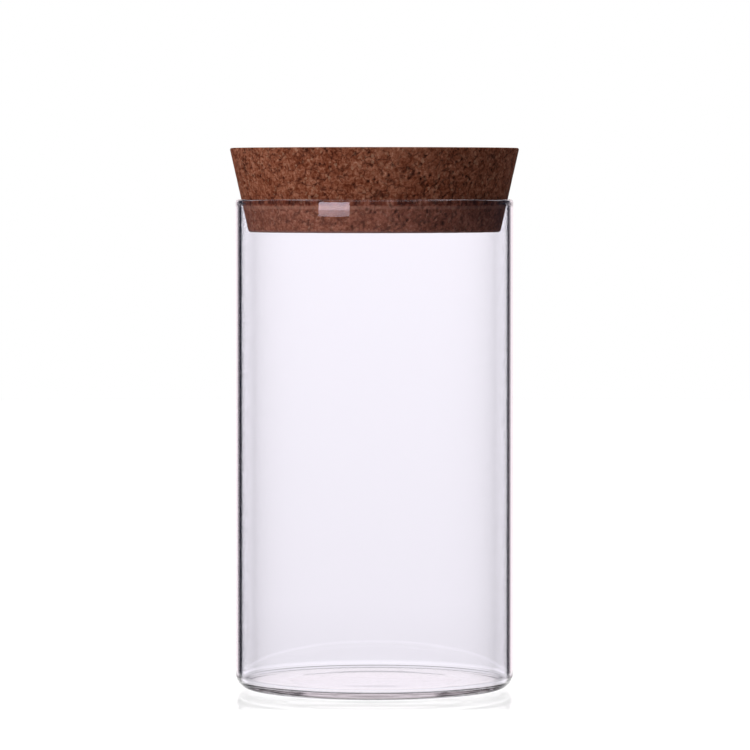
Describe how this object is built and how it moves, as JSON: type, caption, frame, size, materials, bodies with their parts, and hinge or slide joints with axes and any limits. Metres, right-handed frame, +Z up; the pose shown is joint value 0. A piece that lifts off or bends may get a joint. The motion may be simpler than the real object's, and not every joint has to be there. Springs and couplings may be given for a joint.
{
  "type": "storage jar",
  "caption": "Straight-sided clear glass storage jar with a fire-polished round lip and a pressed-up base, closed by a tapered cork lid that lifts off.",
  "frame": {"origin": "on the jar's axis, in the plane of the standing ring under its base", "axes": "+Z up along the axis of the jar and its lid; the part is round, so X and Y have no preferred direction"},
  "size_m": [0.0884, 0.0884, 0.1657],
  "materials": {
    "glass": "polished",
    "cork": "matte"
  },
  "bodies": {
    "jar": {"glass_jar": "glass"},
    "lid": {"cork_lid": "cork"}
  },
  "joints": [
    {"name": "lid_lift", "type": "slide", "parent": "jar", "child": "lid", "axis": [0, 0, 1], "range_m": [0, 0.12]}
  ]
}
